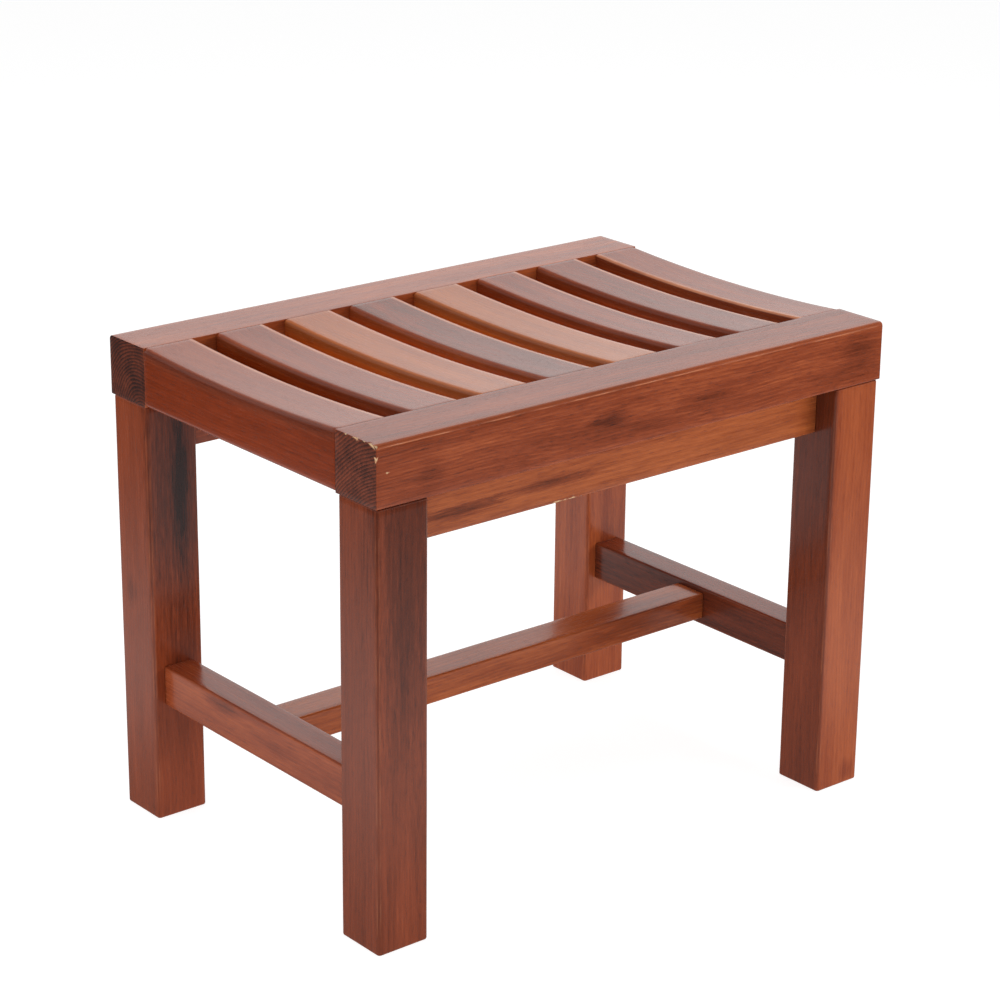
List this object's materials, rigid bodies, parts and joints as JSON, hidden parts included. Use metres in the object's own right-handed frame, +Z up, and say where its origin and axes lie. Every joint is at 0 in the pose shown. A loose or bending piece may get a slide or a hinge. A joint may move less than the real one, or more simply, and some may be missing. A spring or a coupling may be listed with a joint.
{
  "type": "shower stool",
  "caption": "Slatted wooden shower stool with a dished seat between two rails, square legs, set-back aprons and an H stretcher.",
  "frame": {"origin": "centre of the four feet, on the floor", "axes": "+X along the seat rails (the longest side), +Y from the front rail to the rear rail, +Z up"},
  "size_m": [0.5, 0.34, 0.395],
  "materials": {
    "seat_wood": "semi-gloss reddish-brown stain over straight-grained hardwood",
    "frame_wood": "semi-gloss reddish-brown stain over straight-grained hardwood",
    "dowel_wood": "bare turned hardwood, glued in"
  },
  "bodies": {
    "root": {"rail_front": "seat_wood", "rail_rear": "seat_wood", "end_slat_left": "seat_wood", "end_slat_right": "seat_wood", "seat_slat_1": "seat_wood", "seat_slat_2": "seat_wood", "seat_slat_3": "seat_wood", "seat_slat_4": "seat_wood", "seat_slat_5": "seat_wood", "seat_slat_6": "seat_wood", "leg_front_left": "frame_wood", "leg_front_right": "frame_wood", "leg_rear_left": "frame_wood", "leg_rear_right": "frame_wood", "apron_front": "frame_wood", "apron_rear": "frame_wood", "side_stretcher_left": "frame_wood", "side_stretcher_right": "frame_wood", "centre_stretcher": "frame_wood", "leg_dowel_front_left_inner": "dowel_wood", "leg_dowel_front_left_outer": "dowel_wood", "leg_dowel_front_right_inner": "dowel_wood", "leg_dowel_front_right_outer": "dowel_wood", "leg_dowel_rear_left_inner": "dowel_wood", "leg_dowel_rear_left_outer": "dowel_wood", "leg_dowel_rear_right_inner": "dowel_wood", "leg_dowel_rear_right_outer": "dowel_wood", "apron_dowel_front_left_lower": "dowel_wood", "apron_dowel_front_left_upper": "dowel_wood", "apron_dowel_front_right_lower": "dowel_wood", "apron_dowel_front_right_upper": "dowel_wood", "apron_dowel_rear_left_lower": "dowel_wood", "apron_dowel_rear_left_upper": "dowel_wood", "apron_dowel_rear_right_lower": "dowel_wood", "apron_dowel_rear_right_upper": "dowel_wood"}
  },
  "joints": []
}
